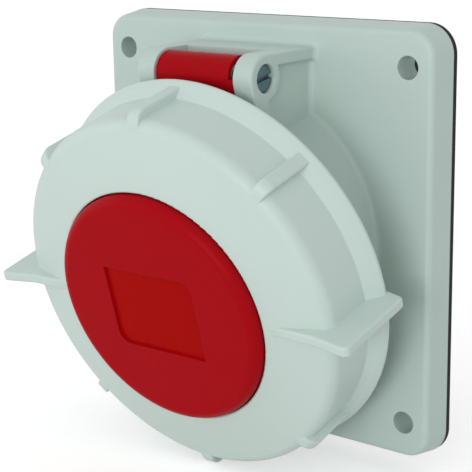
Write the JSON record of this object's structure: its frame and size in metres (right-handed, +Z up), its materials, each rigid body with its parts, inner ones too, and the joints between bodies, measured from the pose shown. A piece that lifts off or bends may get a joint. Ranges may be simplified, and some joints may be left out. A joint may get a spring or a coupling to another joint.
{
  "type": "industrial panel socket",
  "caption": "Angled panel-mounting power socket with a sprung red lid, a winged bayonet locking ring, pin contacts and rear screw terminals.",
  "frame": {"origin": "centre of the gasket's back face, which lies on the mounting panel, at the middle of the four screw holes", "axes": "+X right, +Z up, the socket faces -Y and its axis leans 15 degrees downward; +Y goes into the panel"},
  "size_m": [0.1054, 0.0904, 0.1082],
  "materials": {
    "grey_plastic": "light grey moulded polyamide, fine satin",
    "red_plastic": "deep red moulded plastic, semi-gloss",
    "black_rubber": "soft black rubber",
    "zinc_steel": "bluish zinc plated steel",
    "spring_steel": "bright spring wire",
    "black_insulator": "black moulded thermoset",
    "contact_brass": "turned brass"
  },
  "bodies": {
    "housing": {"flange_housing": "grey_plastic", "flange_gasket": "black_rubber", "hinge_pin": "zinc_steel", "hinge_spring": "spring_steel", "contact_carrier": "black_insulator", "terminal_carrier": "black_insulator", "carrier_screw": "zinc_steel", "insert_screws": "zinc_steel", "contact_pe": "contact_brass", "contact_spring_pe": "spring_steel", "terminal_screws_pe": "zinc_steel", "contact_l1": "contact_brass", "contact_spring_l1": "spring_steel", "terminal_screws_l1": "zinc_steel", "contact_l2": "contact_brass", "contact_spring_l2": "spring_steel", "terminal_screws_l2": "zinc_steel", "contact_l3": "contact_brass", "contact_spring_l3": "spring_steel", "terminal_screws_l3": "zinc_steel", "contact_n": "contact_brass", "contact_spring_n": "spring_steel", "terminal_screws_n": "zinc_steel"},
    "lid": {"lid": "red_plastic", "lid_seal": "black_rubber"},
    "ring": {"bayonet_ring": "grey_plastic"}
  },
  "joints": [
    {"name": "lid_hinge", "type": "hinge", "parent": "housing", "child": "lid", "pos_m": [0, -0.0283, 0.0405], "axis": [-1, 0, 0], "range_deg": [0, 110], "stiffness_Nm_per_rad": 0.0625, "springref_deg": -73.34, "deforming": ["hinge_spring"]},
    {"name": "ring_turn", "type": "hinge", "parent": "lid", "child": "ring", "pos_m": [0, -0.047, -0.012], "axis": [0, 0.9659, 0.2588], "range_deg": [0, 30]}
  ]
}
